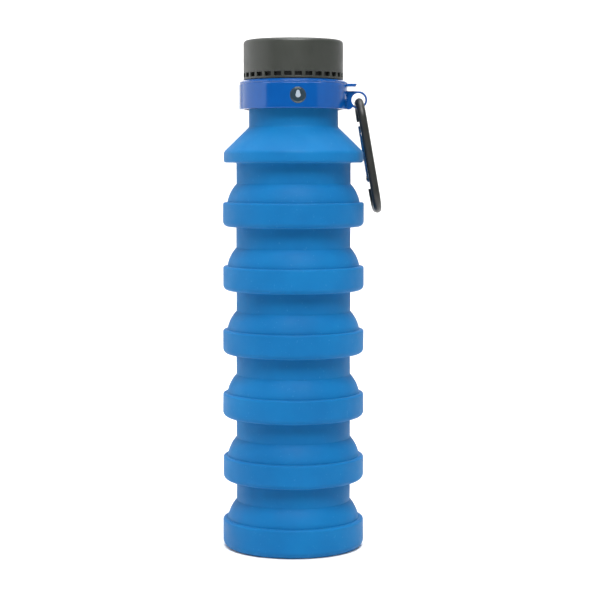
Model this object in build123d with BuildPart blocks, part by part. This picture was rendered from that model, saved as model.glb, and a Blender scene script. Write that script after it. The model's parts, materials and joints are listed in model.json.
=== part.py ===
from build123d import *
from math import atan2, cos, hypot, radians, sin, tan
import os

# Folding water bottle of moulded silicone, with a screw cap, a clip collar and a snap hook.
# Millimetres, +Z up. The origin is the centre of the base's underside. The front, which
# carries the badge, faces -Y, and the eyelet with the snap hook is on +X.

os.makedirs("parts", exist_ok=True)

# ---- Silicone body: a cup, five rings and a shoulder, joined by thin domed fold webs ----
ring_radius = 33.0
ring_height = 11.4
ring_count = 5
ring_wall = 2.2
ring_top_corner = 1.3
ring_bottom_corner = 2.6
ledge_width = 2.0  # flat step from the ring's edge in to the foot of the dome
lip_height = 2.0  # thick top of a ring's wall, which the dome stands on
lip_slope = 1.2  # height of the slope under the lip
shelf_thickness = 1.9  # flat floor of a ring, between its wall and its neck
floor_corner = 1.5  # inside, where a ring's wall meets its floor
inner_corner = 0.8  # inside, under a lip and behind the shoulder's rim
crease = 0.5  # where a neck meets its floor

neck_inset = 6.25  # from the ring's edge in to the neck's face
neck_height = 9.8
neck_wall = 1.8

dome_height = 8.6
dome_curve = 16.5  # radius of the dome's arc

base_height = 13.6
base_flare = 0.2  # how far the base stands out past the rings
base_floor = 2.6
base_floor_corner = 2.0
base_corner = 4.5
base_foot_width = 7.2  # from the base's edge in to the groove under it
base_groove_width = 6.0
base_groove_depth = 0.8

shoulder_inset = 0.4  # how far the shoulder's rim is inside the rings
shoulder_rim_height = 5.0
shoulder_corner = 1.2
cone_angle = 44.51  # degrees above the horizontal
cone_wall = 1.9
cone_corner = 2.5  # outside, where the cone leaves the rim
throat_corner = 1.5  # outside, where the cone meets the throat
throat_inner_corner = 1.0
rim_wall = 2.1
throat_wall = 1.9
throat_height = 14.4  # straight stretch from the cone up to the bead
bead_lip = 1.8
bead_height = 3.0
bead_corner = 0.4

# ---- Rigid mouth, pushed into the silicone throat ----
mouth_bore_radius = 16.4
mouth_wall = 2.0
sleeve_wall = 2.5
sleeve_length = 16.0
barb_count = 3
barb_height = 0.3
barb_spacing = 4.0
barb_start = 2.0  # from the sleeve's lower end to the first barb
barb_ramp = 1.2
barb_back = 0.2
flange_thickness = 2.0
mouth_height = 15.1  # from the flange's top to the rim
mouth_corner = 0.6

# ---- Three-start thread between mouth and cap ----
thread_starts = 3
thread_pitch = 4.0  # from one start to the next
thread_turn = 200.0  # degrees that each start runs round
thread_rise_start = 4.2  # from the flange's top to the middle of a ridge's lower end
thread_play = 0.7  # axial, shared between the two sides of a ridge
thread_taper = 0.7  # how much narrower a ridge is at its crest than at its foot
thread_depth = 1.1
thread_clearance = 0.4  # radial, crest to root
thread_sink = 0.25  # how far a ridge is rooted in its wall

# ---- Collar ----
collar_height = 13.5
collar_wall = 2.5  # outside the bead's pocket
collar_skirt_wall = 2.0
collar_lip = 2.0  # over the mouth's flange
collar_bevel = 1.6
collar_bevel_height = 0.9
collar_groove_depth = 0.25
collar_groove_drop = 1.8
collar_groove_half = 0.25
collar_crown_inset = 0.1  # how far the band above the groove stands back
collar_corner = 0.4
collar_fit = 0.2
collar_rib = 2.0
badge_radius = 3.7
badge_thickness = 0.5
badge_recess = 0.3
badge_play = 0.05
badge_turn = 5.0  # degrees round to the right of the front
badge_drop = 7.6  # below the collar's top
fin_root = 0.5  # how far the tab and the eyelet are rooted in the skirt
tab_thickness = 1.4
tab_width = 9.0
tab_length = 4.3
tab_corner = 2.0
tab_top_drop = 1.5
tab_slant = 0.9

# ---- Cap ----
cap_gap = 0.3  # between collar and cap
cap_wall = 1.5
cap_top = 1.6
cap_edge = 1.7
cap_lip_corner = 0.25
window_count = 30
window_width = 3.35
window_height = 2.0
window_sill = 1.0
window_corner = 0.3
insert_clearance = 0.1
insert_wall = 1.7
insert_foot = 0.5  # how far the insert stays above the shell's lower edge
insert_plate = 1.7
boss_wall = 1.4
boss_drop = 1.7  # how far the boss reaches down through the gasket
boss_play = 0.8  # between the boss and the mouth's bore
gasket_thickness = 2.0
gasket_play = 0.15
insert_corner = 0.3

# ---- Snap hook ----
hook_wire_radius = 1.9
hook_width = 21.7  # centre to centre
hook_corner = 8.0
hook_yaw = 1.0  # degrees, the gate's side turned in towards the bottle
hook_rest_gap = 0.1  # from the shoulder's rim to a gate that has swung to the rim's furthest point
nose_straight = 0.7  # straight wire between the top bend and the nose's end
arm_straight = 1.5  # straight wire between the bottom bend and the arm's end
nose_gap = 1.9
hinge_gap = 3.1
gate_length = 27.0
gate_radius = 1.8
gate_chamfer = 0.35
gate_bore = 1.05
gate_bore_depth = 17.6
blade_thickness = 1.4
blade_play = 0.3  # between a blade and the slot it sits in
nose_blade_width = 3.0
nose_blade_length = 5.1
blade_tip_play = 1.4
hinge_blade_width = 3.4
blade_root = 1.0  # how far a blade is rooted in the wire
rivet_rise = 2.1  # above the gate's lower end
rivet_radius = 0.7
rivet_head_radius = 1.15
rivet_head = 0.35
rivet_clearance = 0.04
rivet_fit = 0.01  # a hair under the blade's hole
pin_radius = 0.6
pin_drop = 1.9  # below the gate's upper end
pin_play = 0.2
pin_fit = 0.02
pin_recess = 0.15  # how far the pin's ends stay inside the gate
cam_rise = 2.0  # from the rivet to the flat top of the hinge blade
cam_play = 0.88  # from the blade's turning corner to the end of its slot
plunger_length = 3.5
spring_wire = 0.2
spring_turns = 9
bore_play = 0.1  # round the plunger and the spring
part_gap = 0.1

# ---- Eyelet on the collar ----
eyelet_stand = 5.0  # from the collar's face to the hole's centre
eyelet_drop = 9.0  # from the collar's top to the hole's centre
eyelet_play = 1.3  # between the hook's wire and the hole's wall, when centred
eyelet_seat_gap = 0.2
eyelet_wall = 0.95
eyelet_width = 2.8
gusset_foot = 0.9  # how far the gusset's foot stands out of the collar
gusset_angle = 40.0  # where the gusset leaves the eyelet, in degrees round from its lowest point

# ---- Radii worked out from the sizes above ----
neck_radius = ring_radius - neck_inset
neck_bore = neck_radius - neck_wall
dome_foot = ring_radius - ledge_width
dome_foot_bore = dome_foot - neck_wall
base_radius = ring_radius + base_flare
shoulder_radius = ring_radius - shoulder_inset
throat_bore = mouth_bore_radius + sleeve_wall
throat_radius = throat_bore + throat_wall
bead_radius = throat_radius + bead_lip
thread_root_radius = mouth_bore_radius + mouth_wall
collar_radius = bead_radius + collar_fit + collar_wall
insert_bore = thread_root_radius + thread_depth + thread_clearance
insert_radius = insert_bore + insert_wall
shell_bore = insert_radius + insert_clearance
cap_radius = shell_bore + cap_wall
eyelet_bore = hook_wire_radius + eyelet_play
eyelet_outer = eyelet_bore + eyelet_wall
eyelet_reach = collar_radius + eyelet_stand
tab_reach = collar_radius + tab_length

# ---- Heights worked out from the sizes above ----
fold_height = dome_height + neck_height  # from one ring's top to the next ring's floor
ring_pitch = ring_height + fold_height
shoulder_bottom = base_height + fold_height + ring_count * ring_pitch
cone_bottom = shoulder_bottom + shoulder_rim_height
cone_top = cone_bottom + (shoulder_radius - throat_radius) * tan(radians(cone_angle))
bead_bottom = cone_top + throat_height
bead_top = bead_bottom + bead_height
flange_top = bead_top + flange_thickness
mouth_rim = flange_top + mouth_height
lip_bottom = flange_top + part_gap
collar_top = lip_bottom + collar_lip
collar_bottom = collar_top - collar_height
cap_bottom = collar_top + cap_gap
gasket_bottom = mouth_rim + part_gap
gasket_top = gasket_bottom + gasket_thickness
insert_ceiling = gasket_top + part_gap
ceiling = insert_ceiling + insert_plate
cap_summit = ceiling + cap_top
eyelet_height = collar_top - eyelet_drop


def ring_bottom(number):
    """Height of the underside of a ring; ring 1 is the uppermost."""
    return base_height + fold_height + (ring_count - number) * ring_pitch


def revolve_outline(outline, mode=Mode.ADD):
    """Revolve a closed outline of (radius, height, corner radius) points about Z."""
    with BuildSketch(Plane.XZ) as section:
        with BuildLine():
            Polyline([(r, z) for r, z, _ in outline], close=True)
        make_face()
        for r, z, corner in outline:
            if corner > 0:
                fillet(section.vertices().sort_by_distance((r, z))[0], corner)
    revolve(section.sketch, axis=Axis.Z, mode=mode)


def curved_disc(radius, inner, outer):
    """A round patch of a tube's wall, at the badge's place on the collar."""
    turn = radians(badge_turn)
    front = Plane(origin=(0, 0, 0), x_dir=(cos(turn), sin(turn), 0), z_dir=(sin(turn), -cos(turn), 0))
    with BuildPart(mode=Mode.PRIVATE) as patch:
        with BuildSketch(front):
            with Locations((0, collar_top - badge_drop)):
                Circle(radius)
        extrude(amount=2 * collar_radius)
        revolve_outline(
            [
                (inner, collar_bottom, 0),
                (outer, collar_bottom, 0),
                (outer, collar_top, 0),
                (inner, collar_top, 0),
            ],
            mode=Mode.INTERSECT,
        )
    return patch.part


def finish_part(builder, name):
    """Label a finished sub-part and write its STEP file."""
    builder.part.label = name
    export_step(builder.part, f"parts/{name}.step")


# ---- Base cup ----
base_groove_outer = base_radius - base_foot_width
base_groove_inner = base_groove_outer - base_groove_width
with BuildPart() as base_cup:
    revolve_outline(
        [
            (0, 0, 0),
            (base_radius, 0, base_corner),
            (base_radius, base_height, ring_top_corner),
            (dome_foot_bore, base_height, 0),
            (dome_foot_bore, base_height - lip_height, 0),
            (base_radius - ring_wall, base_height - lip_height - lip_slope, inner_corner),
            (base_radius - ring_wall, base_floor, base_floor_corner),
            (0, base_floor, 0),
        ]
    )
    revolve_outline(
        [
            (base_groove_inner, 0, 0),
            (base_groove_outer, 0, 0),
            (base_groove_outer - base_groove_depth, base_groove_depth, 0),
            (base_groove_inner + base_groove_depth, base_groove_depth, 0),
        ],
        mode=Mode.SUBTRACT,
    )
finish_part(base_cup, "base_cup")

# ---- Rings, each with its ledge, its flat floor and the neck that hangs from it ----
for number in range(1, ring_count + 1):
    floor = ring_bottom(number)
    top = floor + ring_height
    with BuildPart() as ring:
        revolve_outline(
            [
                (neck_bore, floor - neck_height, 0),
                (neck_radius, floor - neck_height, 0),
                (neck_radius, floor, crease),
                (ring_radius, floor, ring_bottom_corner),
                (ring_radius, top, ring_top_corner),
                (dome_foot_bore, top, 0),
                (dome_foot_bore, top - lip_height, 0),
                (ring_radius - ring_wall, top - lip_height - lip_slope, inner_corner),
                (ring_radius - ring_wall, floor + shelf_thickness, floor_corner),
                (neck_bore, floor + shelf_thickness, crease),
            ]
        )
    finish_part(ring, f"ring_{number}")

# ---- Fold webs: thin domes that turn inside out as the bottle folds ----
web_feet = [ring_bottom(number) + ring_height for number in range(1, ring_count + 1)]
web_feet.append(base_height)
for number, foot in enumerate(web_feet, start=1):
    crown = foot + dome_height
    with BuildPart() as fold_web:
        with BuildSketch(Plane.XZ):
            with BuildLine():
                RadiusArc((dome_foot, foot), (neck_radius, crown), -dome_curve)
                Line((neck_radius, crown), (neck_bore, crown))
                RadiusArc((neck_bore, crown), (dome_foot_bore, foot), dome_curve)
                Line((dome_foot_bore, foot), (dome_foot, foot))
            make_face()
        revolve(axis=Axis.Z)
    finish_part(fold_web, f"fold_web_{number}")

# ---- Shoulder: hanging neck, rim, cone and throat with a bead ----
cone_shift = cone_wall / sin(radians(cone_angle))  # across the cone's wall, level
rim_bore = shoulder_radius - rim_wall
cone_bore_foot = cone_bottom - (cone_shift - rim_wall) * tan(radians(cone_angle))
cone_bore_top = cone_top - (cone_shift - throat_wall) * tan(radians(cone_angle))
with BuildPart() as shoulder:
    revolve_outline(
        [
            (neck_bore, shoulder_bottom - neck_height, 0),
            (neck_radius, shoulder_bottom - neck_height, 0),
            (neck_radius, shoulder_bottom, crease),
            (shoulder_radius, shoulder_bottom, shoulder_corner),
            (shoulder_radius, cone_bottom, cone_corner),
            (throat_radius, cone_top, throat_corner),
            (throat_radius, bead_bottom, 0),
            (bead_radius, bead_bottom, bead_corner),
            (bead_radius, bead_top, bead_corner),
            (throat_bore, bead_top, 0),
            (throat_bore, cone_bore_top, throat_inner_corner),
            (rim_bore, cone_bore_foot, inner_corner),
            (rim_bore, shoulder_bottom + shelf_thickness, inner_corner),
            (neck_bore, shoulder_bottom + shelf_thickness, crease),
        ]
    )
finish_part(shoulder, "shoulder")

# ---- Thread ridges ----
lead = thread_starts * thread_pitch
thread_foot = (thread_pitch - thread_play + thread_taper) / 2
thread_crest = thread_foot - thread_taper
thread_rise = lead * thread_turn / 360
mouth_thread_start = flange_top + thread_rise_start
cap_thread_start = mouth_thread_start + thread_pitch / 2


def add_thread(root_radius, outward, start_height):
    """Add the thread's ridges to a wall; outward is 1 for a mouth and -1 for a cap."""
    foot_radius = root_radius - outward * thread_sink
    crest_radius = root_radius + outward * thread_depth
    for start in range(thread_starts):
        turn = 360 / thread_starts * start
        with BuildPart(mode=Mode.PRIVATE) as ridge:
            with BuildLine():
                Helix(pitch=lead, height=thread_rise, radius=root_radius)
            with BuildSketch(Plane.XZ):
                with BuildLine():
                    Polyline(
                        (foot_radius, -thread_foot / 2),
                        (foot_radius, thread_foot / 2),
                        (crest_radius, thread_crest / 2),
                        (crest_radius, -thread_crest / 2),
                        close=True,
                    )
                make_face()
            sweep(is_frenet=True)
        add(ridge.part.moved(Location((0, 0, start_height), (0, 0, turn))))


# ---- Mouth insert: barbed sleeve, flange and threaded mouth ----
sleeve_bottom = bead_top - sleeve_length
sleeve_outline = [
    (mouth_bore_radius, sleeve_bottom, mouth_corner),
    (throat_bore, sleeve_bottom, mouth_corner),
]
for barb in range(barb_count):
    barb_bottom = sleeve_bottom + barb_start + barb * barb_spacing
    sleeve_outline.append((throat_bore, barb_bottom, 0))
    sleeve_outline.append((throat_bore + barb_height, barb_bottom + barb_ramp, 0))
    sleeve_outline.append((throat_bore, barb_bottom + barb_ramp + barb_back, 0))
with BuildPart() as neck_insert:
    revolve_outline(
        sleeve_outline
        + [
            (throat_bore, bead_top, 0),
            (bead_radius, bead_top, 0),
            (bead_radius, flange_top, bead_corner),
            (thread_root_radius, flange_top, crease),
            (thread_root_radius, mouth_rim, mouth_corner),
            (mouth_bore_radius, mouth_rim, mouth_corner),
        ]
    )
    add_thread(thread_root_radius, 1, mouth_thread_start)
finish_part(neck_insert, "neck_insert")

# ---- Collar with tab and eyelet ----
skirt_bore = collar_radius - collar_skirt_wall
rib_bore = throat_radius + collar_fit
bead_pocket = bead_radius + collar_fit
rib_top = bead_bottom - part_gap
groove_height = collar_top - collar_groove_drop
groove_radius = collar_radius - collar_groove_depth
crown_radius = collar_radius - collar_crown_inset
fin_start = skirt_bore + fin_root
gusset_knee_x = eyelet_reach - eyelet_outer * sin(radians(gusset_angle))
gusset_knee_z = eyelet_height - eyelet_outer * cos(radians(gusset_angle))
badge_bed = collar_radius - badge_recess
tab_top = collar_top - tab_top_drop
with BuildPart() as collar:
    revolve_outline(
        [
            (skirt_bore, collar_bottom, collar_corner),
            (collar_radius, collar_bottom, collar_corner),
            (collar_radius, groove_height - collar_groove_half, 0),
            (groove_radius, groove_height, 0),
            (groove_radius, groove_height + collar_groove_half, 0),
            (crown_radius, groove_height + 2 * collar_groove_half, 0),
            (crown_radius, collar_top - collar_bevel_height, collar_corner),
            (crown_radius - collar_bevel, collar_top, collar_corner),
            (rib_bore, collar_top, collar_corner),
            (rib_bore, lip_bottom, 0),
            (bead_pocket, lip_bottom, 0),
            (bead_pocket, rib_top, 0),
            (rib_bore, rib_top, 0),
            (rib_bore, rib_top - collar_rib, collar_corner),
            (skirt_bore, rib_top - collar_rib, 0),
        ]
    )
    with BuildSketch(Plane.XY.offset(tab_top - tab_thickness)):
        with Locations((tab_reach / 2 + skirt_bore / 2, 0)):
            RectangleRounded(tab_reach - skirt_bore, tab_width, tab_corner)
        Circle(fin_start, mode=Mode.SUBTRACT)
    extrude(amount=tab_thickness)
    with BuildSketch(Plane.XZ):
        with BuildLine():
            Polyline(
                (tab_reach - tab_slant, tab_top),
                (tab_reach, tab_top),
                (tab_reach, tab_top - tab_thickness),
                close=True,
            )
        make_face()
    extrude(amount=tab_width, both=True, mode=Mode.SUBTRACT)
    with BuildSketch(Plane.XZ):
        with BuildLine():
            Polyline(
                (fin_start, eyelet_height + eyelet_outer),
                (eyelet_reach, eyelet_height + eyelet_outer),
                (eyelet_reach, eyelet_height),
                (gusset_knee_x, gusset_knee_z),
                (collar_radius + gusset_foot, collar_bottom),
                (fin_start, collar_bottom),
                close=True,
            )
        make_face()
        with Locations((eyelet_reach, eyelet_height)):
            Circle(eyelet_outer)
            Circle(eyelet_bore, mode=Mode.SUBTRACT)
    extrude(amount=eyelet_width / 2, both=True)
    add(curved_disc(badge_radius + badge_play, badge_bed, 2 * collar_radius), mode=Mode.SUBTRACT)
finish_part(collar, "collar")

# ---- Badge, a round patch with the collar's own curve ----
with BuildPart() as collar_badge:
    add(curved_disc(badge_radius, badge_bed, badge_bed + badge_thickness))
finish_part(collar_badge, "collar_badge")

# ---- Cap shell with its row of windows ----
window_centre = cap_bottom + window_sill + window_height / 2
with BuildPart() as cap_shell:
    revolve_outline(
        [
            (0, ceiling, 0),
            (shell_bore, ceiling, cap_lip_corner),
            (shell_bore, cap_bottom, cap_lip_corner),
            (cap_radius, cap_bottom, cap_lip_corner),
            (cap_radius, cap_summit, cap_edge),
            (0, cap_summit, 0),
        ]
    )
    with BuildSketch(Plane.YZ) as window:
        with Locations((0, window_centre)):
            RectangleRounded(window_width, window_height, window_corner)
    slot = extrude(window.sketch, amount=2 * cap_radius, mode=Mode.PRIVATE)
    with PolarLocations(0, window_count):
        add(slot, mode=Mode.SUBTRACT)
finish_part(cap_shell, "cap_shell")

# ---- Threaded insert, pressed up against the shell's ceiling ----
boss_radius = mouth_bore_radius - boss_play
boss_bottom = gasket_top - boss_drop
with BuildPart() as cap_thread_insert:
    revolve_outline(
        [
            (0, insert_ceiling, 0),
            (boss_radius - boss_wall, insert_ceiling, 0),
            (boss_radius - boss_wall, boss_bottom, insert_corner),
            (boss_radius, boss_bottom, insert_corner),
            (boss_radius, insert_ceiling, 0),
            (insert_bore, insert_ceiling, 0),
            (insert_bore, cap_bottom + insert_foot, insert_corner),
            (insert_radius, cap_bottom + insert_foot, insert_corner),
            (insert_radius, ceiling, insert_corner),
            (0, ceiling, 0),
        ]
    )
    add_thread(insert_bore, -1, cap_thread_start)
finish_part(cap_thread_insert, "cap_thread_insert")

# ---- Gasket between the mouth's rim and the insert ----
with BuildPart() as cap_gasket:
    revolve_outline(
        [
            (boss_radius + gasket_play, gasket_bottom, insert_corner),
            (insert_bore - 2 * gasket_play, gasket_bottom, insert_corner),
            (insert_bore - 2 * gasket_play, gasket_top, insert_corner),
            (boss_radius + gasket_play, gasket_top, insert_corner),
        ]
    )
finish_part(cap_gasket, "cap_gasket")

# ---- Snap hook: local x runs from the spine to the gate, local y up, z out of the hook ----
side = hook_width / 2
nose_end = hook_corner + nose_straight
gate_top = nose_end + nose_gap
gate_bottom = gate_top + gate_length
arm_end = gate_bottom + hinge_gap
hook_length = arm_end + arm_straight + hook_corner
hook_seat = eyelet_bore - hook_wire_radius - eyelet_seat_gap

# The hook hangs from the eyelet and leans out past the shoulder's rim, clear of its swinging gate.
yaw = radians(hook_yaw)
gate_reach = shoulder_radius + hook_rest_gap + gate_radius
lean = max(0.0, atan2(gate_reach - eyelet_reach, eyelet_height - cone_bottom))
up = Vector(-sin(lean), 0, cos(lean))
outward = Vector(cos(lean), 0, sin(lean))
across = Vector(0, 1, 0) * cos(yaw) - outward * sin(yaw)
facing = across.cross(up)
hole = Vector(eyelet_reach, 0, eyelet_height)
hook_plane = Plane(origin=hole - up * hook_seat, x_dir=across, z_dir=facing)


def hook_point(x, y):
    """A point of the hook's plane, in the bottle's frame."""
    return hook_plane.from_local_coords((x, y))


def gate_section(y):
    """A plane across the gate at a height along it."""
    return Plane(origin=hook_point(side, y), x_dir=across, z_dir=up)


def gate_bore_plane(y):
    """A plane whose normal is the rivet's direction, centred on the gate at a height."""
    return Plane(origin=hook_point(side, y), x_dir=across, z_dir=facing)


rivet_y = -gate_bottom + rivet_rise
pin_y = -gate_top - pin_drop
gate_slot = blade_thickness + blade_play
gate_top_slot = nose_blade_length - nose_gap + blade_tip_play
gate_bottom_slot = rivet_rise + hypot(cam_rise, hinge_blade_width / 2) + cam_play
gate_bore_end = gate_bottom - gate_bore_depth
blade_tip = -nose_end - nose_blade_length

with BuildPart() as carabiner_body:
    with BuildLine(hook_plane) as wire:
        FilletPolyline(
            (side, -nose_end),
            (side, 0),
            (-side, 0),
            (-side, -hook_length),
            (side, -hook_length),
            (side, -arm_end),
            radius=hook_corner,
        )
    with BuildSketch(Plane(origin=wire.line @ 0, x_dir=across, z_dir=wire.line % 0)):
        Circle(hook_wire_radius)
    sweep(path=wire.line)
    with BuildSketch(hook_plane):
        with Locations((side, (blade_tip - nose_end + blade_root) / 2)):
            Rectangle(nose_blade_width, nose_blade_length + blade_root)
        with Locations((side - nose_blade_width / 2, pin_y)):
            SlotOverall(
                nose_blade_width + 2 * pin_radius,
                2 * (pin_radius + pin_play),
                mode=Mode.SUBTRACT,
            )
        with Locations((side, (rivet_y + cam_rise - arm_end - blade_root) / 2)):
            Rectangle(hinge_blade_width, rivet_y + cam_rise + arm_end + blade_root)
        with Locations((side, rivet_y)):
            Circle(rivet_radius, mode=Mode.SUBTRACT)
    extrude(amount=blade_thickness / 2, both=True)
finish_part(carabiner_body, "carabiner_body")

# ---- Gate: a tube slotted at both ends ----
with BuildPart() as carabiner_gate:
    with BuildSketch(gate_section(-gate_bottom)):
        Circle(gate_radius)
    extrude(amount=gate_bottom - gate_top)
    chamfer(carabiner_gate.edges().filter_by(GeomType.CIRCLE), gate_chamfer)
    with BuildSketch(gate_section(-gate_bottom)):
        Circle(gate_bore)
    extrude(amount=gate_bottom - gate_bore_end, mode=Mode.SUBTRACT)
    with BuildSketch(hook_plane):
        with Locations((side, -gate_top - gate_top_slot / 2)):
            Rectangle(3 * gate_radius, gate_top_slot)
        with Locations((side, -gate_bottom + gate_bottom_slot / 2)):
            Rectangle(3 * gate_radius, gate_bottom_slot)
    extrude(amount=gate_slot / 2, both=True, mode=Mode.SUBTRACT)
    with BuildSketch(gate_bore_plane(rivet_y)):
        Circle(rivet_radius + rivet_clearance)
    extrude(amount=2 * gate_radius, both=True, mode=Mode.SUBTRACT)
    with BuildSketch(gate_bore_plane(pin_y)):
        Circle(pin_radius + pin_fit)
    extrude(amount=2 * gate_radius, both=True, mode=Mode.SUBTRACT)
finish_part(carabiner_gate, "carabiner_gate")

# ---- Rivet, held in the hinge blade, with a head on each side of the gate ----
with BuildPart() as gate_rivet:
    with BuildSketch(gate_bore_plane(rivet_y)):
        Circle(rivet_radius - rivet_fit)
    extrude(amount=gate_radius + part_gap, both=True)
    for direction in (1, -1):
        head_plane = gate_bore_plane(rivet_y).offset(direction * (gate_radius + part_gap / 2))
        with BuildSketch(head_plane):
            Circle(rivet_head_radius)
        extrude(amount=direction * rivet_head)
finish_part(gate_rivet, "gate_rivet")

# ---- Latch pin across the gate's upper slot ----
with BuildPart() as gate_latch_pin:
    with BuildSketch(gate_bore_plane(pin_y)):
        Circle(pin_radius)
    extrude(amount=gate_radius - pin_recess, both=True)
finish_part(gate_latch_pin, "gate_latch_pin")

# ---- Plunger, which rides on the hinge blade's flat top ----
plunger_radius = gate_bore - bore_play
plunger_foot = rivet_y + cam_rise + part_gap
plunger_head = plunger_foot + plunger_length
with BuildPart() as gate_plunger:
    with BuildSketch(gate_section(plunger_foot)):
        Circle(plunger_radius)
    extrude(amount=plunger_length)
finish_part(gate_plunger, "gate_plunger")

# ---- Spring between the plunger and the end of the gate's bore ----
spring_radius = gate_bore - bore_play - spring_wire
spring_foot = plunger_head + spring_wire + part_gap / 2
spring_length = -gate_bore_end - spring_foot - spring_wire - part_gap / 2
with BuildPart() as gate_spring:
    with BuildLine() as coil:
        Helix(
            pitch=spring_length / spring_turns,
            height=spring_length,
            radius=spring_radius,
            center=hook_point(side, spring_foot),
            direction=up,
        )
    with BuildSketch(Plane(origin=coil.line @ 0, x_dir=across, z_dir=coil.line % 0)):
        Circle(spring_wire)
    sweep(path=coil.line, is_frenet=True)
finish_part(gate_spring, "gate_spring")
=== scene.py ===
import json
import math

import bmesh
import bpy
from mathutils import Matrix, Vector, noise


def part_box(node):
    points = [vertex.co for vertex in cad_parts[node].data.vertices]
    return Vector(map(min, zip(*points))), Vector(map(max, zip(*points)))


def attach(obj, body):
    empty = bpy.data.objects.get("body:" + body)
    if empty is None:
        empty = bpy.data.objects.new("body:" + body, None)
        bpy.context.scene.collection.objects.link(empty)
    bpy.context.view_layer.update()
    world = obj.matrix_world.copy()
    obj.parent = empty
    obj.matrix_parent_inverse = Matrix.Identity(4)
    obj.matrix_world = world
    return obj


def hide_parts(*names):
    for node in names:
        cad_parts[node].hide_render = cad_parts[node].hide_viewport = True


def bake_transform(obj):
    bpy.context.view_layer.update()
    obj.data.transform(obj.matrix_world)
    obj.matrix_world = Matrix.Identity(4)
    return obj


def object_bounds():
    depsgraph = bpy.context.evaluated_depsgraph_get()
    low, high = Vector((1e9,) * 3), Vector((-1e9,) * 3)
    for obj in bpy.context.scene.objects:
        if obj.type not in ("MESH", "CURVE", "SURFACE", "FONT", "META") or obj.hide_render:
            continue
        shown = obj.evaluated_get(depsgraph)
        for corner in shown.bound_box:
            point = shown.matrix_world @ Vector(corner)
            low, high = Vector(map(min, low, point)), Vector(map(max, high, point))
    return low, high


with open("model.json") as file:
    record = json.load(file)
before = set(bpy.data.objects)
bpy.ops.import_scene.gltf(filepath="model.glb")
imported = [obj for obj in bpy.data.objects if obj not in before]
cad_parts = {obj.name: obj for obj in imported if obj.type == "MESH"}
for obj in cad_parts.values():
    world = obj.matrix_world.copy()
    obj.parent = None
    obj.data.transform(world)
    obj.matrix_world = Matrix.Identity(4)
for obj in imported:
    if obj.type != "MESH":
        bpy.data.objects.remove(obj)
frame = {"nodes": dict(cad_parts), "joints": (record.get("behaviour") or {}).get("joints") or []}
cad_low, cad_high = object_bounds()

MM = 0.001
TURN = 2 * math.pi

# ---- Sizes read from the frame ----
joints = {joint["name"]: joint for joint in frame["joints"]}
base_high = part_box("base_cup")[1]
shoulder_low, shoulder_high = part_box("shoulder")
collar_low, collar_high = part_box("collar")
cap_low, cap_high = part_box("cap_shell")
web_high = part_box("fold_web_1")[1]
BASE_RADIUS = base_high.x
DOME_FOOT = web_high.x
CAP_RADIUS = cap_high.x
COLLAR_RADIUS = -collar_low.y
EYELET = Vector(joints["snap_hook_swing"]["pos_m"])

# ---- Wall sizes of the silicone body, as in the CAD ----
NECK_RADIUS = 26.75 * MM
NECK_BORE = 24.95 * MM
NECK_DROP = 9.8 * MM
DOME_FOOT_BORE = DOME_FOOT - (NECK_RADIUS - NECK_BORE)
DOME_CURVE = 16.5 * MM
DOME_STEPS = 20
RING_WALL = 2.2 * MM
RING_TOP_CORNER = 1.3 * MM
RING_BOTTOM_CORNER = 2.6 * MM
LIP = 2.0 * MM
LIP_SLOPE = 1.2 * MM
LIP_CORNER = 0.4 * MM
INNER_CORNER = 0.8 * MM
SHELF = 1.9 * MM
FLOOR_CORNER = 1.5 * MM
CREASE = 0.5 * MM
BASE_CORNER = 4.5 * MM
BASE_FLOOR = 2.6 * MM
BASE_FLOOR_CORNER = 2.0 * MM
BASE_GROOVE_START = 20.0 * MM
BASE_GROOVE_END = 26.0 * MM
BASE_GROOVE_DEPTH = 0.8 * MM
SHOULDER_WALL = 2.09 * MM
SHOULDER_CORNER = 1.2 * MM
SHOULDER_RIM_HEIGHT = 5.0 * MM
CONE_HEIGHT = 11.6 * MM
CONE_CORNER = 2.5 * MM
CONE_BORE_TOP_DROP = 0.8 * MM
CONE_BORE_FOOT_DROP = 0.6 * MM
THROAT_RADIUS = 20.8 * MM
THROAT_BORE = 18.9 * MM
THROAT_CORNER = 1.5 * MM
THROAT_INNER_CORNER = 1.0 * MM
BEAD_RADIUS = 22.6 * MM
BEAD_HEIGHT = 3.0 * MM
BEAD_CORNER = 0.4 * MM
LATHE_STEPS = 192
SILICONE_SPACING = 1.2 * MM


# ---------------------------------------------------------------- mesh helpers

def rounded(outline):
    """Points along a closed (radius, height, corner) outline, its corners as arcs."""
    points = []
    count = len(outline)
    for i, (r, z, corner) in enumerate(outline):
        here = Vector((r, z))
        back = Vector(outline[i - 1][:2]) - here
        ahead = Vector(outline[(i + 1) % count][:2]) - here
        half = back.angle(ahead) / 2
        if corner <= 0 or half > math.radians(88):
            points.append(here)
            continue
        reach = min(corner / math.tan(half), 0.48 * back.length, 0.48 * ahead.length)
        radius = reach * math.tan(half)
        middle = (back.normalized() + ahead.normalized()).normalized()
        centre = here + middle * (radius / math.sin(half))
        start = here + back.normalized() * reach - centre
        end = here + ahead.normalized() * reach - centre
        turn = start.angle_signed(end)
        steps = max(3, round(abs(turn) / math.radians(9)))
        for k in range(steps + 1):
            arm = start.copy()
            arm.rotate(Matrix.Rotation(-turn * k / steps, 2))
            points.append(centre + arm)
    return points


def spaced(points, longest):
    """The same closed line with extra points wherever two neighbours are further apart than longest."""
    result = []
    for a, b in zip(points, points[1:] + points[:1]):
        steps = max(1, math.ceil((b - a).length / longest))
        result += [a.lerp(b, k / steps) for k in range(steps)]
    return result


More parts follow.
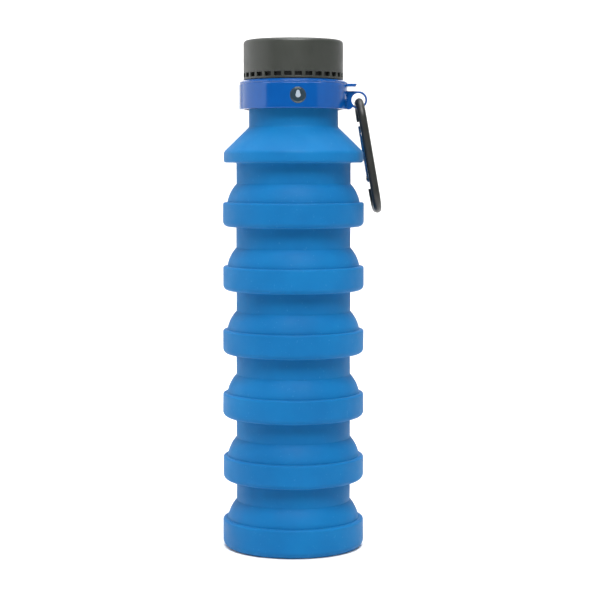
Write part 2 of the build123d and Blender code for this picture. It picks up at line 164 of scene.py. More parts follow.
def new_piece(name, mesh, sharp=math.radians(32)):
    """A smooth-shaded object from a bmesh, with creases kept sharp."""
    bmesh.ops.remove_doubles(mesh, verts=mesh.verts, dist=1e-7)
    bmesh.ops.recalc_face_normals(mesh, faces=mesh.faces)
    data = bpy.data.meshes.new(name)
    mesh.to_mesh(data)
    mesh.free()
    data.shade_smooth()
    data.set_sharp_from_angle(angle=sharp)
    piece = bpy.data.objects.new(name, data)
    bpy.context.scene.collection.objects.link(piece)
    return piece


def at_angle(radius, angle, height):
    """The point at a radius, an angle round Z and a height."""
    return Vector((radius * math.cos(angle), radius * math.sin(angle), height))


def lathe(name, points, shape=None, steps=LATHE_STEPS):
    """Turn a closed line of (radius, height) points about Z; shape moves each vertex."""
    mesh = bmesh.new()
    rings = []
    for point in points:
        if point.x < 1e-6:
            rings.append([mesh.verts.new((0, 0, point.y))] * steps)
            continue
        ring = []
        for k in range(steps):
            place = at_angle(point.x, TURN * k / steps, point.y)
            ring.append(mesh.verts.new(shape(place) if shape else place))
        rings.append(ring)
    for a, b in zip(rings, rings[1:] + rings[:1]):
        for k in range(steps):
            corners = [a[k], a[(k + 1) % steps], b[(k + 1) % steps], b[k]]
            corners = list(dict.fromkeys(corners))
            if len(corners) > 2:
                mesh.faces.new(corners)
    return new_piece(name, mesh)


def add_modifier(piece, kind, **settings):
    """Add a modifier and apply it, so that the mesh itself has the result."""
    modifier = piece.modifiers.new(kind.lower(), kind)
    for key, value in settings.items():
        setattr(modifier, key, value)
    graph = bpy.context.evaluated_depsgraph_get()
    data = bpy.data.meshes.new_from_object(piece.evaluated_get(graph))
    piece.modifiers.clear()
    piece.data = data


# ---------------------------------------------------------------- materials

def new_material(name, color, roughness, **sockets):
    """A Principled material; sockets are shader inputs by name, with _ for spaces."""
    material = bpy.data.materials.new(name)
    material.use_nodes = True
    shader = material.node_tree.nodes["Principled BSDF"]
    shader.inputs["Base Color"].default_value = (*color, 1)
    shader.inputs["Roughness"].default_value = roughness
    for key, value in sockets.items():
        shader.inputs[key.replace("_", " ")].default_value = value
    return material


def add_node(material, kind, links=None, **settings):
    """Add a node, set its properties and inputs, and link inputs from other sockets."""
    node = material.node_tree.nodes.new(kind)
    for key, value in settings.items():
        if key in node.inputs:
            node.inputs[key].default_value = value
        else:
            setattr(node, key, value)
    for key, socket in (links or {}).items():
        material.node_tree.links.new(socket, node.inputs[key])
    return node


def noise_field(material, scale, detail=3.0, roughness=0.5, stretch=(1, 1, 1)):
    """A noise texture in the object's own coordinates, scale in features per metre."""
    place = add_node(material, "ShaderNodeTexCoord").outputs["Object"]
    mapping = add_node(material, "ShaderNodeMapping", {"Vector": place}, Scale=stretch)
    field = add_node(
        material,
        "ShaderNodeTexNoise",
        {"Vector": mapping.outputs["Vector"]},
        Scale=scale,
        Detail=detail,
        Roughness=roughness,
    )
    return field.outputs["Fac"]


def ramp(material, source, stops):
    """A colour ramp over a value; stops are (position, (r, g, b)) pairs."""
    node = add_node(material, "ShaderNodeValToRGB", {"Fac": source})
    elements = node.color_ramp.elements
    while len(elements) < len(stops):
        elements.new(0.5)
    for element, (position, color) in zip(elements, stops):
        element.position = position
        element.color = (*color, 1)
    return node.outputs["Color"]


def spread(material, source, low, high, from_low=0.3, from_high=0.7):
    """Map a value's middle range onto low to high."""
    node = add_node(material, "ShaderNodeMapRange", {"Value": source})
    limits = {"From Min": from_low, "From Max": from_high, "To Min": low, "To Max": high}
    for key, value in limits.items():
        node.inputs[key].default_value = value
    return node.outputs["Result"]


def mix_color(material, factor, a, b):
    """Mix two colours, each a socket or an (r, g, b)."""
    node = add_node(material, "ShaderNodeMix", data_type="RGBA")
    for socket, value in ((node.inputs[0], factor), (node.inputs[6], a), (node.inputs[7], b)):
        if isinstance(value, bpy.types.NodeSocket):
            material.node_tree.links.new(value, socket)
        else:
            socket.default_value = value if isinstance(value, float) else (*value, 1)
    return node.outputs[2]


def feed(material, socket_name, source):
    """Link a value or colour into the shader."""
    shader = material.node_tree.nodes["Principled BSDF"]
    material.node_tree.links.new(source, shader.inputs[socket_name])


def bump(material, height, distance, strength=1.0, below=None):
    """Add a bump on the shader's normal, stacked on an earlier one."""
    links = {"Height": height}
    if below is not None:
        links["Normal"] = below
    node = add_node(material, "ShaderNodeBump", links, Distance=distance, Strength=strength)
    feed(material, "Normal", node.outputs["Normal"])
    return node.outputs["Normal"]


def silicone_material():
    """Matte moulded silicone: cloudy blue, fine orange-peel grain, dust and faint scuffs."""
    material = new_material(
        "silicone_blue",
        (0.003, 0.125, 0.36),
        0.55,
        Specular_IOR_Level=0.14,
        Sheen_Weight=0.06,
        Sheen_Roughness=0.45,
        Sheen_Tint=(0.45, 0.72, 1.0, 1.0),
        Subsurface_Weight=0.10,
        Subsurface_Radius=(0.2, 0.6, 1.0),
        Subsurface_Scale=0.0012,
    )
    cloud = noise_field(material, 26, 4, 0.55)
    tone = ramp(
        material,
        cloud,
        [(0.30, (0.0006, 0.100, 0.278)), (0.52, (0.0010, 0.118, 0.315)), (0.74, (0.002, 0.137, 0.350))],
    )
    dust = noise_field(material, 900, 1, 0.4)
    specks = spread(material, dust, 0.0, 0.35, 0.70, 0.78)
    smear = spread(material, noise_field(material, 60, 5, 0.7, (1, 1, 0.35)), 0.0, 0.10, 0.55, 0.80)
    dusty = mix_color(material, specks, tone, (0.03, 0.19, 0.42))
    feed(material, "Base Color", mix_color(material, smear, dusty, (0.012, 0.160, 0.385)))
    feed(material, "Roughness", spread(material, noise_field(material, 110, 4, 0.6), 0.52, 0.68))
    grain = bump(material, noise_field(material, 2600, 2, 0.5), 0.00005, 0.35)
    bump(material, noise_field(material, 240, 3, 0.5), 0.00022, 0.22, grain)
    return material


def plastic_material(name, color, shade, roughness, rough_spread, peel, **sockets):
    """Moulded plastic: small colour drift, uneven gloss and a fine surface texture."""
    material = new_material(name, color, roughness, **sockets)
    drift = ramp(material, noise_field(material, 45, 3), [(0.3, shade), (0.7, color)])
    feed(material, "Base Color", drift)
    gloss = noise_field(material, 160, 5, 0.65)
    feed(material, "Roughness", spread(material, gloss, roughness - rough_spread, roughness + rough_spread))
    scale, depth = peel
    bump(material, noise_field(material, scale, 2, 0.5), depth, 0.4)
    return material


def metal_material(name, color, shade, roughness, stretch):
    """Metal with fine drawn lines in its colour, gloss and surface."""
    material = new_material(name, color, roughness, Metallic=1.0)
    lines = noise_field(material, 900, 4, 0.6, stretch)
    feed(material, "Base Color", ramp(material, lines, [(0.3, shade), (0.65, color)]))
    feed(material, "Roughness", spread(material, lines, roughness - 0.07, roughness + 0.10))
    bump(material, lines, 0.00003, 0.35)
    return material


silicone = silicone_material()
collar_plastic = plastic_material(
    "collar_gloss_blue", (0.0003, 0.066, 0.27), (0.0002, 0.058, 0.245), 0.13, 0.05, (420, 0.00003),
    Specular_IOR_Level=0.45, Coat_Weight=0.08, Coat_Roughness=0.08,
)
cap_plastic = plastic_material(
    "cap_matte_grey", (0.026, 0.029, 0.024), (0.021, 0.024, 0.020), 0.42, 0.06, (3200, 0.00005),
    Specular_IOR_Level=0.5,
)
insert_plastic = plastic_material(
    "insert_dark", (0.006, 0.005, 0.0045), (0.004, 0.0035, 0.003), 0.6, 0.05, (2200, 0.00004)
)
mouth_plastic = plastic_material(
    "mouth_blue", (0.003, 0.12, 0.44), (0.002, 0.10, 0.40), 0.30, 0.06, (900, 0.00003)
)
gasket_silicone = plastic_material(
    "gasket_pale", (0.60, 0.61, 0.60), (0.54, 0.55, 0.54), 0.55, 0.06, (1800, 0.00004),
    Subsurface_Weight=0.2, Subsurface_Scale=0.001,
)
badge_plastic = plastic_material(
    "badge_dark", (0.016, 0.034, 0.048), (0.013, 0.028, 0.040), 0.22, 0.05, (700, 0.00002)
)
badge_mark = plastic_material(
    "badge_mark_grey", (0.30, 0.36, 0.42), (0.26, 0.31, 0.37), 0.35, 0.05, (700, 0.00002)
)
hook_black = plastic_material(
    "hook_anodised_black", (0.012, 0.013, 0.012), (0.009, 0.010, 0.009), 0.40, 0.07, (1500, 0.00004),
    Specular_IOR_Level=0.5,
)
gate_metal = metal_material("gate_blue_grey", (0.42, 0.44, 0.50), (0.30, 0.32, 0.38), 0.24, (1, 1, 0.05))
steel = metal_material("plain_steel", (0.50, 0.50, 0.51), (0.38, 0.38, 0.39), 0.30, (1, 1, 0.3))


def dress(piece, material, body=None, stands_for=()):
    """Give a piece its material and body, and hide the CAD nodes it stands for."""
    piece.data.materials.clear()
    piece.data.materials.append(material)
    if body:
        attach(piece, body)
    if stands_for:
        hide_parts(*stands_for)


# ---------------------------------------------------------------- silicone body

TRUE_CORE = 5.0 * MM
TRUE_FOOT = 1.0 * MM
RIPPLE_DENSITY = 38
RIPPLE_HEIGHT = 0.16 * MM
SWAY_DENSITY = 11
SWAY_HEIGHT = 0.22 * MM
SWAY_SHIFT = Vector((3, 1, 7))


def soft_shape(place):
    """Moulded silicone isn't quite true: a slow wander of the wall, away from its core and foot."""
    radius = math.hypot(place.x, place.y)
    if radius < TRUE_CORE or place.z < TRUE_FOOT:
        return place
    ripple = noise.noise(place * RIPPLE_DENSITY) * RIPPLE_HEIGHT
    sway = noise.noise(place * SWAY_DENSITY + SWAY_SHIFT) * SWAY_HEIGHT
    scale = 1 + (ripple + sway) / radius
    return Vector((place.x * scale, place.y * scale, place.z))


def arc_line(start, end, radius, steps):
    """Points of an arc between two (radius, height) points, bulging away from the axis."""
    chord = end - start
    middle = (start + end) / 2
    side = Vector((chord.y, -chord.x)).normalized()
    centre = middle - side * math.sqrt(radius**2 - (chord.length / 2) ** 2)
    a = start - centre
    b = end - centre
    turn = a.angle_signed(b)
    points = []
    for k in range(steps + 1):
        arm = a.copy()
        arm.rotate(Matrix.Rotation(-turn * k / steps, 2))
        points.append(centre + arm)
    return points


def silicone_piece(name, outline, body, node):
    """A turned silicone piece from a (radius, height, corner) outline."""
    piece = lathe(name, spaced(rounded(outline), SILICONE_SPACING), soft_shape)
    dress(piece, silicone, body, [node])


def make_base():
    """Base ring with its big lower radius, inner lip and floor, and a groove underneath."""
    top = base_high.z
    silicone_piece(
        "silicone_base",
        [
            (0, 0, 0),
            (BASE_GROOVE_START, 0, 0),
            (BASE_GROOVE_START + BASE_GROOVE_DEPTH, BASE_GROOVE_DEPTH, 0),
            (BASE_GROOVE_END - BASE_GROOVE_DEPTH, BASE_GROOVE_DEPTH, 0),
            (BASE_GROOVE_END, 0, 0),
            (BASE_RADIUS, 0, BASE_CORNER),
            (BASE_RADIUS, top, RING_TOP_CORNER),
            (DOME_FOOT, top, 0),
            (DOME_FOOT_BORE, top, 0),
            (DOME_FOOT_BORE, top - LIP, LIP_CORNER),
            (BASE_RADIUS - RING_WALL, top - LIP - LIP_SLOPE, INNER_CORNER),
            (BASE_RADIUS - RING_WALL, BASE_FLOOR, BASE_FLOOR_CORNER),
            (0, BASE_FLOOR, 0),
        ],
        "base",
        "base_cup",
    )


def make_ring(number):
    """One ring: neck, flat floor, rounded band and the lip that the dome stands on."""
    node = f"ring_{number}"
    low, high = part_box(node)
    radius = high.x
    floor = low.z + NECK_DROP
    silicone_piece(
        f"silicone_ring_{number}",
        [
            (NECK_BORE, low.z, 0),
            (NECK_RADIUS, low.z, 0),
            (NECK_RADIUS, floor, CREASE),
            (radius, floor, RING_BOTTOM_CORNER),
            (radius, high.z, RING_TOP_CORNER),
            (DOME_FOOT, high.z, 0),
            (DOME_FOOT_BORE, high.z, 0),
            (DOME_FOOT_BORE, high.z - LIP, LIP_CORNER),
            (radius - RING_WALL, high.z - LIP - LIP_SLOPE, INNER_CORNER),
            (radius - RING_WALL, floor + SHELF, FLOOR_CORNER),
            (NECK_BORE, floor + SHELF, CREASE),
        ],
        f"ring_{number}_body",
        node,
    )


def make_fold(number):
    """A thin dome between two bodies."""
    low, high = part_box(f"fold_web_{number}")
    faces = []
    for foot, crest in ((DOME_FOOT, NECK_RADIUS), (DOME_FOOT_BORE, NECK_BORE)):
        faces.append(arc_line(Vector((foot, low.z)), Vector((crest, high.z)), DOME_CURVE, DOME_STEPS))
    outer, inner = faces
    piece = lathe(f"silicone_fold_{number}", outer + inner[::-1], soft_shape)
    dress(piece, silicone, stands_for=[f"fold_web_{number}"])
    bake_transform(piece)


def make_shoulder():
    """Hanging neck, rim, cone and throat, with the bead that the collar holds."""
    bottom = shoulder_low.z + NECK_DROP
    rim = bottom + SHOULDER_RIM_HEIGHT
    cone_top = rim + CONE_HEIGHT
    bead = shoulder_high.z - BEAD_HEIGHT
    radius = shoulder_high.x
    inner = radius - SHOULDER_WALL
    silicone_piece(
        "silicone_shoulder",
        [
            (NECK_BORE, shoulder_low.z, 0),
            (NECK_RADIUS, shoulder_low.z, 0),
            (NECK_RADIUS, bottom, CREASE),
            (radius, bottom, SHOULDER_CORNER),
            (radius, rim, CONE_CORNER),
            (THROAT_RADIUS, cone_top, THROAT_CORNER),
            (THROAT_RADIUS, bead, 0),
            (BEAD_RADIUS, bead, BEAD_CORNER),
            (BEAD_RADIUS, shoulder_high.z, BEAD_CORNER),
            (THROAT_BORE, shoulder_high.z, 0),
            (THROAT_BORE, cone_top - CONE_BORE_TOP_DROP, THROAT_INNER_CORNER),
            (inner, rim - CONE_BORE_FOOT_DROP, INNER_CORNER),
            (inner, bottom + SHELF, INNER_CORNER),
            (NECK_BORE, bottom + SHELF, CREASE),
        ],
        "neck",
        "shoulder",
    )


def make_silicone_body():
    """Everything blue and matte, from the base up."""
    make_base()
    for number in range(1, 6):
        make_ring(number)
    for number in range(1, 7):
        make_fold(number)
    make_shoulder()


# ---------------------------------------------------------------- cap

WINDOWS = 30
WINDOW_STEPS = 4
BRIDGE_STEPS = 2
WINDOW_SHARE = 8.3 / 12.0
WINDOW_SILL = 1.0 * MM
WINDOW_HEIGHT = 2.0 * MM
CAP_EDGE = 1.7 * MM
CAP_WALL = 1.5 * MM
CAP_BEVEL = 0.16 * MM
CAP_WALL_STEPS = 9
CAP_ARC_STEPS = 10
CAP_FLAT_STEPS = 8


def make_cap():
    """Cap shell with a rounded top edge and a row of windows, as one thin wall."""
    top = cap_high.z
    sill = cap_low.z + WINDOW_SILL
    head = sill + WINDOW_HEIGHT
    per_window = WINDOW_STEPS + BRIDGE_STEPS
    steps = WINDOWS * per_window
    angles = []
    for w in range(WINDOWS):
        for k in range(WINDOW_STEPS):
            angles.append(w + WINDOW_SHARE * k / WINDOW_STEPS)
        for k in range(BRIDGE_STEPS):
            angles.append(w + WINDOW_SHARE + (1 - WINDOW_SHARE) * k / BRIDGE_STEPS)
    angles = [TURN * (a - WINDOW_SHARE / 2) / WINDOWS for a in angles]
    line = [(CAP_RADIUS, cap_low.z), (CAP_RADIUS, sill), (CAP_RADIUS, head)]
    for k in range(1, CAP_WALL_STEPS + 1):
        line.append((CAP_RADIUS, head + (top - CAP_EDGE - head) * k / CAP_WALL_STEPS))
    edge_middle = CAP_RADIUS - CAP_EDGE
    for k in range(1, CAP_ARC_STEPS + 1):
        turn = TURN / 4 * k / CAP_ARC_STEPS
        line.append((edge_middle + CAP_EDGE * math.cos(turn), top - CAP_EDGE + CAP_EDGE * math.sin(turn)))
    for k in range(1, CAP_FLAT_STEPS + 1):
        line.append((edge_middle * (1 - k / CAP_FLAT_STEPS), top))
    mesh = bmesh.new()
    rings = []
    for r, z in line:
        if r < 1e-6:
            rings.append([mesh.verts.new((0, 0, z))] * steps)
        else:
            rings.append([mesh.verts.new(at_angle(r, a, z)) for a in angles])
    for row, (a, b) in enumerate(zip(rings, rings[1:])):
        for k in range(steps):
            is_window = row == 1 and k % per_window < WINDOW_STEPS
            if is_window:
                continue
            corners = [a[k], a[(k + 1) % steps], b[(k + 1) % steps], b[k]]
            mesh.faces.new(list(dict.fromkeys(corners)))
    piece = new_piece("cap_cover", mesh)
    add_modifier(piece, "SOLIDIFY", thickness=CAP_WALL, offset=-1, use_even_offset=True)
    corner = math.radians(40)
    add_modifier(piece, "BEVEL", width=CAP_BEVEL, segments=3, limit_method="ANGLE", angle_limit=corner)
    piece.data.shade_smooth()
    piece.data.set_sharp_from_angle(angle=math.radians(35))
    dress(piece, cap_plastic, "cap", ["cap_shell"])


# ---------------------------------------------------------------- collar and badge

COLLAR_SKIRT = 2.0 * MM
COLLAR_RIB = 2.0 * MM
COLLAR_LIP = 2.0 * MM
COLLAR_CORNER = 0.4 * MM
SKIRT_CORNER = 0.45 * MM
COLLAR_SPACING = 2.0 * MM
COLLAR_STEPS = 288
COLLAR_BEVEL = 1.6 * MM
COLLAR_BEVEL_HEIGHT = 0.9 * MM
CROWN_INSET = 0.1 * MM
CROWN_CORNER = 0.15 * MM
GROOVE_DROP = 1.8 * MM
GROOVE_DEPTH = 0.25 * MM
GROOVE_HALF = 0.25 * MM
GROOVE_CORNER = 0.08 * MM
GROOVE_MOUTH_CORNER = 0.12 * MM
BEAD_PLAY = 0.1 * MM
ROOT_DEPTH = 1.4 * MM
ROOT_INSET = 0.1 * MM
RIB_BORE = 21.0 * MM
BEAD_POCKET = 22.8 * MM
TAB_DROP = 1.5 * MM
TAB_THICKNESS = 1.4 * MM
TAB_LENGTH = 4.3 * MM
TAB_WIDTH = 9.0 * MM
TAB_CORNER = 2.0 * MM
TAB_UNDERCUT = 0.54 * MM
TAB_SOFT_EDGE = 0.22 * MM
EYELET_BORE = 3.2 * MM
EYELET_WALL = 0.95 * MM
EYELET_WIDTH = 2.8 * MM
EYELET_SOFT_EDGE = 0.3 * MM
FIN_FOOT = 0.9 * MM
FIN_KNEE = math.radians(-130)
FIN_REACH = 1.4 * MM
FIN_RISE = 0.3 * MM
FIN_STEPS = 9
BADGE_RADIUS = 3.7 * MM
BADGE_DROP = 7.6 * MM
BADGE_FACE = 0.18 * MM
BADGE_RINGS = 40
BADGE_GROOVE_AT = 0.86
BADGE_GROOVE_SHARE = 0.035
BADGE_GROOVE_DEPTH = 0.09 * MM
BADGE_EDGE_AT = 0.93
BADGE_EDGE_DEPTH = 0.12 * MM
DROP_RINGS = 12
DROP_RADIUS = 1.15 * MM
DROP_LIFT = 0.02 * MM
DROP_CROWN = 0.10 * MM
DISC_STEPS = 96
DISC_WALL = 0.25 * MM
BADGE_TURN = math.radians(5)


def plate(name, outline, thickness, place, bevel, holes=()):
    """A flat plate with soft edges: an outline of (x, y) points, thickened both ways about its plane."""
    curve = bpy.data.curves.new(name, "CURVE")
    curve.dimensions = "2D"
    curve.fill_mode = "BOTH"
    curve.extrude = thickness / 2 - bevel
    curve.bevel_depth = bevel
    curve.bevel_resolution = 2
    curve.offset = -bevel
    for points in (outline, *holes):
        spline = curve.splines.new("POLY")
        spline.points.add(len(points) - 1)
        spline.use_cyclic_u = True
        for point, (x, y) in zip(spline.points, points):
            point.co = (x, y, 0, 1)
    holder = bpy.data.objects.new(name, curve)
    bpy.context.scene.collection.objects.link(holder)
    data = bpy.data.meshes.new_from_object(holder.evaluated_get(bpy.context.evaluated_depsgraph_get()))
    bpy.data.objects.remove(holder)
    mesh = bmesh.new()
    mesh.from_mesh(data)
    bmesh.ops.transform(mesh, matrix=place, verts=mesh.verts)
    return new_piece(name, mesh, math.radians(40))


def circle_points(centre, radius, start=0.0, end=TURN, steps=48):
    """Points round a circle or an arc; a full circle leaves out its last point."""
    count = steps if end - start >= TURN - 1e-6 else steps + 1
    x, y = centre
    angles = [start + (end - start) * k / steps for k in range(count)]
    return [(x + radius * math.cos(a), y + radius * math.sin(a)) for a in angles]


def make_collar_band():
    """The turned band, with its bevelled crown, fine groove and inner ribs."""
    low = collar_low.z
    top = collar_high.z
    groove = top - GROOVE_DROP
    rib_top = shoulder_high.z - BEAD_HEIGHT - BEAD_PLAY
    lip = top - COLLAR_LIP
    radius = COLLAR_RADIUS
    crown = radius - CROWN_INSET
    outline = [
        (radius - COLLAR_SKIRT, low, COLLAR_CORNER),
        (radius, low, SKIRT_CORNER),
        (radius, groove - GROOVE_HALF, GROOVE_MOUTH_CORNER),
        (radius - GROOVE_DEPTH, groove, GROOVE_CORNER),
        (radius - GROOVE_DEPTH, groove + GROOVE_HALF, GROOVE_CORNER),
        (crown, groove + 2 * GROOVE_HALF, CROWN_CORNER),
        (crown, top - COLLAR_BEVEL_HEIGHT, COLLAR_CORNER),
        (crown - COLLAR_BEVEL, top, COLLAR_CORNER),
        (RIB_BORE, top, COLLAR_CORNER),
        (RIB_BORE, lip, 0),
        (BEAD_POCKET, lip, 0),
        (BEAD_POCKET, rib_top, 0),
        (RIB_BORE, rib_top, 0),
        (RIB_BORE, rib_top - COLLAR_RIB, COLLAR_CORNER),
        (radius - COLLAR_SKIRT, rib_top - COLLAR_RIB, 0),
    ]
    band = lathe("collar_band", spaced(rounded(outline), COLLAR_SPACING), steps=COLLAR_STEPS)
    dress(band, collar_plastic, "neck", ["collar"])


def make_collar_tab():
    """The thumb tab near the collar's top, with round corners and an undercut end."""
    top = collar_high.z - TAB_DROP
    reach = COLLAR_RADIUS + TAB_LENGTH
    half = TAB_WIDTH / 2
    corner_x = reach - TAB_CORNER
    corner_y = half - TAB_CORNER
    root = COLLAR_RADIUS - ROOT_DEPTH
    outline = [(root, ROOT_INSET - half)]
    outline += circle_points((corner_x, -corner_y), TAB_CORNER, -TURN / 4, 0, 8)
    outline += circle_points((corner_x, corner_y), TAB_CORNER, 0, TURN / 4, 8)
    outline.append((root, half - ROOT_INSET))
    place = Matrix.Translation((0, 0, top - TAB_THICKNESS / 2))
    tab = plate("collar_tab", outline, TAB_THICKNESS, place, TAB_SOFT_EDGE)
    for vertex in tab.data.vertices:
        rise = (vertex.co.z - (top - TAB_THICKNESS)) / TAB_THICKNESS
        past = max(0.0, (vertex.co.x - COLLAR_RADIUS) / (reach - COLLAR_RADIUS))
        vertex.co.x -= TAB_UNDERCUT * (1 - rise) * past
    dress(tab, collar_plastic, "neck", ["collar"])


def make_collar_eyelet():
    """The eyelet that holds the snap hook, on a fin whose lower edge curves in to the skirt."""
    upright = Matrix.Rotation(TURN / 4, 4, "X")
    outer = EYELET_BORE + EYELET_WALL
    root = COLLAR_RADIUS - ROOT_DEPTH
    x, z = EYELET.x, EYELET.z
    rim = circle_points((x, z), outer, FIN_KNEE, TURN / 4, 40)
    knee = Vector(rim[0])
    fin_bottom = collar_low.z + ROOT_INSET
    foot = Vector((COLLAR_RADIUS + FIN_FOOT, fin_bottom))
    fin = [(root, fin_bottom), tuple(foot)]
    control = Vector((foot.x + FIN_REACH, z - outer + FIN_RISE))
    for k in range(1, FIN_STEPS):
        t = k / FIN_STEPS
        fin.append(tuple(foot * (1 - t) ** 2 + control * 2 * t * (1 - t) + knee * t**2))
    outline = fin + rim + [(root, z + outer)]
    hole = circle_points((x, z), EYELET_BORE, steps=40)
    eyelet = plate("collar_eyelet", outline, EYELET_WIDTH, upright, EYELET_SOFT_EDGE, [hole])
    dress(eyelet, collar_plastic, "neck", ["collar"])


def bend_to_collar(mesh, radius):
    """Wrap a flat mesh, drawn in x and y with z outwards, round the collar's front."""
    centre_z = collar_high.z - BADGE_DROP
    for vertex in mesh.verts:
        angle = BADGE_TURN + vertex.co.x / radius
        reach = radius + vertex.co.z
        vertex.co = Vector((reach * math.sin(angle), -reach * math.cos(angle), centre_z + vertex.co.y))


def drop_radius(angle):
    """Outline of a plain water drop: a circle that draws out to a tip twice as far from its centre."""
    tip = max(0.0, math.sin(angle)) ** 7
    return DROP_RADIUS * (1 + tip)


def relief_disc(name, outline, rings, height, base):
    """A low disc whose edge is the outline(angle) and whose height is height(share)."""
    steps = DISC_STEPS
    mesh = bmesh.new()
    rows = [[mesh.verts.new((0, 0, base + height(0.0)))] * steps]
    for k in range(1, rings + 1):
        share = k / rings
        row = []
        for a in range(steps):
            angle = TURN * a / steps
            reach = outline(angle) * share
            row.append(mesh.verts.new(at_angle(reach, angle, base + height(share))))
        rows.append(row)
    wall = [mesh.verts.new((v.co.x, v.co.y, base - DISC_WALL)) for v in rows[-1]]
    rows.append(wall)
    for a, b in zip(rows, rows[1:]):
        for k in range(steps):
            corners = [a[k], a[(k + 1) % steps], b[(k + 1) % steps], b[k]]
            mesh.faces.new(list(dict.fromkeys(corners)))
    mesh.faces.new(wall[::-1])
    bend_to_collar(mesh, COLLAR_RADIUS)
    return new_piece(name, mesh)


def make_badge():
    """A dark round badge with a plain water drop, a thin groove and a soft edge."""

    def badge_height(share):
        groove = math.exp(-(((share - BADGE_GROOVE_AT) / BADGE_GROOVE_SHARE) ** 2))
        edge = max(0.0, share - BADGE_EDGE_AT) / (1 - BADGE_EDGE_AT)
        return -BADGE_GROOVE_DEPTH * groove - BADGE_EDGE_DEPTH * edge**2

    def drop_height(share):
        return DROP_CROWN * (1 - share**4)

    badge = relief_disc("badge_disc", lambda angle: BADGE_RADIUS, BADGE_RINGS, badge_height, BADGE_FACE)
    dress(badge, badge_plastic, "neck", ["collar_badge"])
    drop = relief_disc("badge_drop", drop_radius, DROP_RINGS, drop_height, BADGE_FACE + DROP_LIFT)
    dress(drop, badge_mark, "neck", ["collar_badge"])


# ---------------------------------------------------------------- CAD nodes that stay

CAD_FINISHES = {
    "cap_thread_insert": (insert_plastic, "insert_plastic"),
    "cap_gasket": (gasket_silicone, "gasket_silicone"),
    "neck_insert": (mouth_plastic, "mouth_plastic"),
    "carabiner_body": (hook_black, "hook_paint"),
    "carabiner_gate": (gate_metal, "gate_metal"),
    "gate_rivet": (steel, "steel"),
    "gate_latch_pin": (steel, "steel"),
    "gate_plunger": (steel, "steel"),
}


def finish_cad_nodes():
    """Give the CAD nodes that stay visible their procedural finishes."""
    for name, (material, slot) in CAD_FINISHES.items():
        node = frame["nodes"][name]
        node.data.materials.clear()
        node.data.materials.append(material)


# ---------------------------------------------------------------- the gate's spring

SPRING_WIRE = 0.2 * MM
SPRING_RADIUS = 0.75 * MM
SPRING_TURNS = 9
SPRING_TURN_STEPS = 20
SPRING_WIRE_STEPS = 8


def make_gate_spring():
    """The gate's coil spring, wound along the line from the plunger through the spring's box."""
    low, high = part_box("gate_spring")
    plunger_low, plunger_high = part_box("gate_plunger")
    middle = (low + high) / 2
    along = (middle - (plunger_low + plunger_high) / 2).normalized()
    side = along.cross(Vector((0, 1, 0))).normalized()
    front = along.cross(side)
    tilt = math.acos(min(1.0, along.z))
    lean_share = 2 * (SPRING_RADIUS + SPRING_WIRE) * math.sin(tilt)
    length = (high.z - low.z - lean_share) / along.z - 2 * SPRING_WIRE
    foot = middle - along * (length / 2)
    steps = SPRING_TURNS * SPRING_TURN_STEPS
    wire_steps = SPRING_WIRE_STEPS
    mesh = bmesh.new()
    rows = []
    for k in range(steps + 1):
        turn = TURN * SPRING_TURNS * k / steps
        outward = side * math.cos(turn) + front * math.sin(turn)
        centre = foot + along * (length * k / steps) + outward * SPRING_RADIUS
        row = []
        for w in range(wire_steps):
            angle = TURN * w / wire_steps
            arm = outward * math.cos(angle) + along * math.sin(angle)
            row.append(mesh.verts.new(centre + arm * SPRING_WIRE))
        rows.append(row)
    for a, b in zip(rows, rows[1:]):
        for w in range(wire_steps):
            mesh.faces.new([a[w], a[(w + 1) % wire_steps], b[(w + 1) % wire_steps], b[w]])
    mesh.faces.new(rows[0])
    mesh.faces.new(rows[-1])
    spring = new_piece("gate_coil", mesh)
    spring.data.materials.append(steel)
    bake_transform(spring)
    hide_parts("gate_spring")


# ---------------------------------------------------------------- studio

def make_stage():
    """A pale, wide floor that sweeps up into a backdrop."""
    material = new_material("studio_paper", (0.90, 0.90, 0.90), 0.85)
    stops = [(0.2, (0.88, 0.88, 0.88)), (0.8, (0.92, 0.92, 0.92))]
    tone = ramp(material, noise_field(material, 3, 2), stops)
    feed(material, "Base Color", tone)
    mesh = bmesh.new()
    half = 9.0
    front = -9.0
    sweep_start = 1.0
    sweep = 0.8
    sweep_steps = 12
    wall_top = 6.0
    line = [(front, 0.0), (sweep_start, 0.0)]
    for k in range(1, sweep_steps + 1):
        turn = TURN / 4 * k / sweep_steps
        line.append((sweep_start + sweep * math.sin(turn), sweep - sweep * math.cos(turn)))
    line.append((sweep_start + sweep, wall_top))
    rows = [[mesh.verts.new((x, y, z)) for x in (-half, half)] for y, z in line]
    for a, b in zip(rows, rows[1:]):
        mesh.faces.new([a[0], a[1], b[1], b[0]])
    floor = new_piece("studio_floor", mesh, math.radians(60))
    floor.data.materials.append(material)


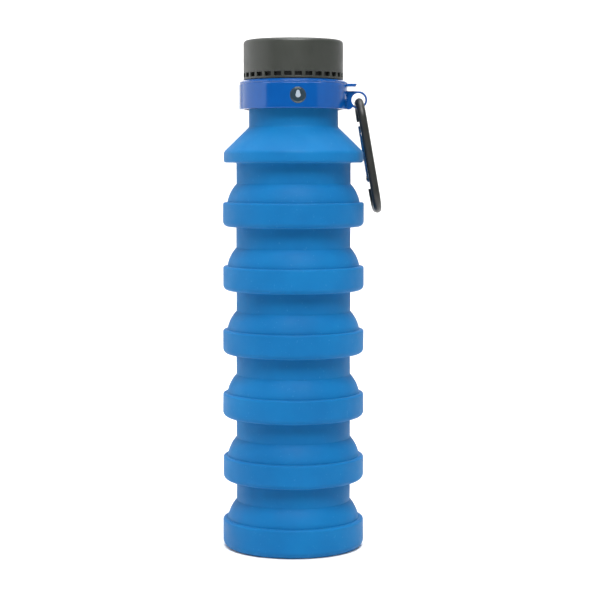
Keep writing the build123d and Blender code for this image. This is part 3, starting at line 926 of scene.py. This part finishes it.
def add_softbox(name, place, target, size, power):
    """A rectangular area light aimed at a point."""
    light = bpy.data.lights.new(name, "AREA")
    light.shape = "RECTANGLE"
    light.size, light.size_y = size
    light.energy = power
    lamp = bpy.data.objects.new(name, light)
    lamp.location = place
    lamp.rotation_euler = (Vector(target) - Vector(place)).to_track_quat("-Z", "Y").to_euler()
    bpy.context.scene.collection.objects.link(lamp)


def make_lights():
    """A broad key above the front, white panels at both sides and a lit backdrop."""
    middle = (0, 0, 0.13)
    panel_size = (1.45, 1.3)
    panel_height = 0.30
    panel_distance = 0.9
    for name, azimuth, power in (("left_panel", -97, 8.0), ("right_panel", 90, 2.4)):
        angle = math.radians(azimuth - 90)
        add_softbox(name, at_angle(panel_distance, angle, panel_height), middle, panel_size, power)
    add_softbox("key_panel", (0.1, -0.85, 1.2), middle, (0.9, 0.7), 26.0)
    add_softbox("top_panel", (0, 0.1, 1.3), middle, (0.9, 0.9), 7.0)
    add_softbox("backdrop_light", (0, 0.25, 1.3), (0, 1.7, 0.5), (1.6, 0.6), 26.0)
    world = bpy.data.worlds.new("studio_world")
    world.use_nodes = True
    world.node_tree.nodes["Background"].inputs["Color"].default_value = (1, 1, 1, 1)
    world.node_tree.nodes["Background"].inputs["Strength"].default_value = 0.12
    bpy.context.scene.world = world
    bpy.context.scene.view_settings.view_transform = "Standard"


def make_camera():
    """A long lens a little above the bottle's shoulder, looking slightly down."""
    distance = 0.80
    eye_height = 0.753 * cad_high.z
    camera = bpy.data.cameras.new("camera")
    camera.lens = 102.3
    camera.sensor_width = 36
    lens = bpy.data.objects.new("camera", camera)
    aim = Vector((3.1 * MM, 0, 116.6 * MM))
    lens.location = (aim.x, -distance, eye_height)
    lens.rotation_euler = (aim - lens.location).to_track_quat("-Z", "Y").to_euler()
    bpy.context.scene.collection.objects.link(lens)
    bpy.context.scene.camera = lens


make_camera()
make_silicone_body()
make_cap()
make_collar_band()
make_collar_tab()
make_collar_eyelet()
make_badge()
make_gate_spring()
finish_cad_nodes()
make_stage()
make_lights()
